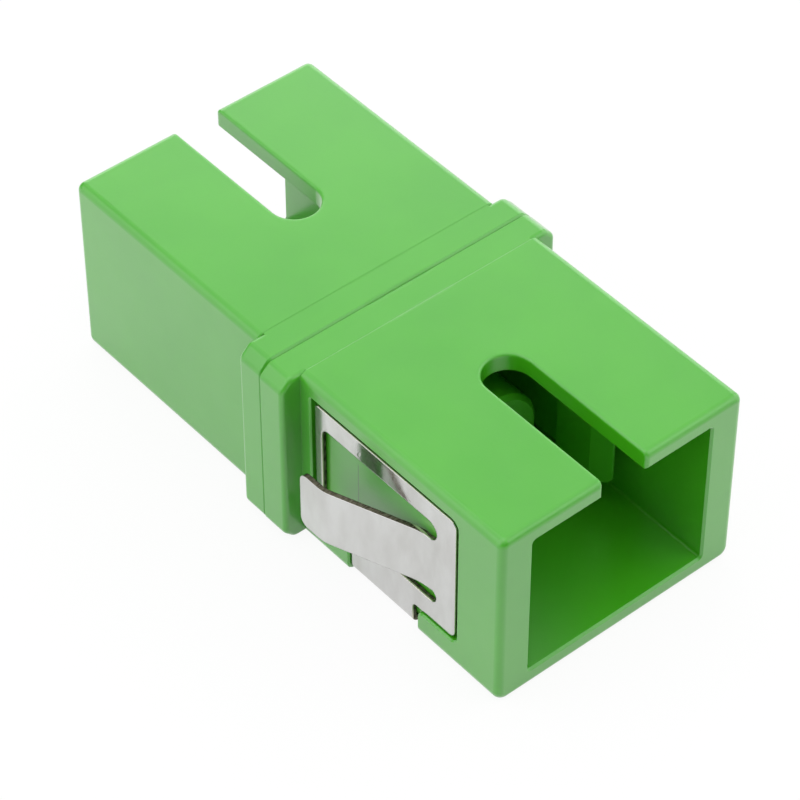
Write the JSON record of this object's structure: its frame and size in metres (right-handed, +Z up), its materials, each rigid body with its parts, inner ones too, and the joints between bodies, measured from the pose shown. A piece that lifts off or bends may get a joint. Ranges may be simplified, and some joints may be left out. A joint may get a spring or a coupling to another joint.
{
  "type": "fibre optic adapter",
  "caption": "Square push-pull fibre optic adapter: plug cavities at both ends joined by a split alignment sleeve, with a mounting collar and a sprung panel clip.",
  "frame": {"origin": "the point on the ferrules' axis where the two ferrules meet, in the weld plane between the housing halves", "axes": "+Y along the ferrules' axis away from the clip half, +Z up towards the key slots, +X to the right seen from the clip half's mouth"},
  "size_m": [0.0158, 0.0274, 0.0094],
  "materials": {
    "housing_plastic": "moulded, light sheen",
    "holder_plastic": "moulded, light sheen",
    "sleeve_ceramic": "ground and polished",
    "clip_steel": "rolled sheet, blanked and folded"
  },
  "bodies": {
    "root": {"housing_front": "housing_plastic", "housing_rear": "housing_plastic", "latch_holder_front": "holder_plastic", "latch_holder_rear": "holder_plastic", "split_sleeve": "sleeve_ceramic", "panel_clip": "clip_steel"}
  },
  "joints": []
}
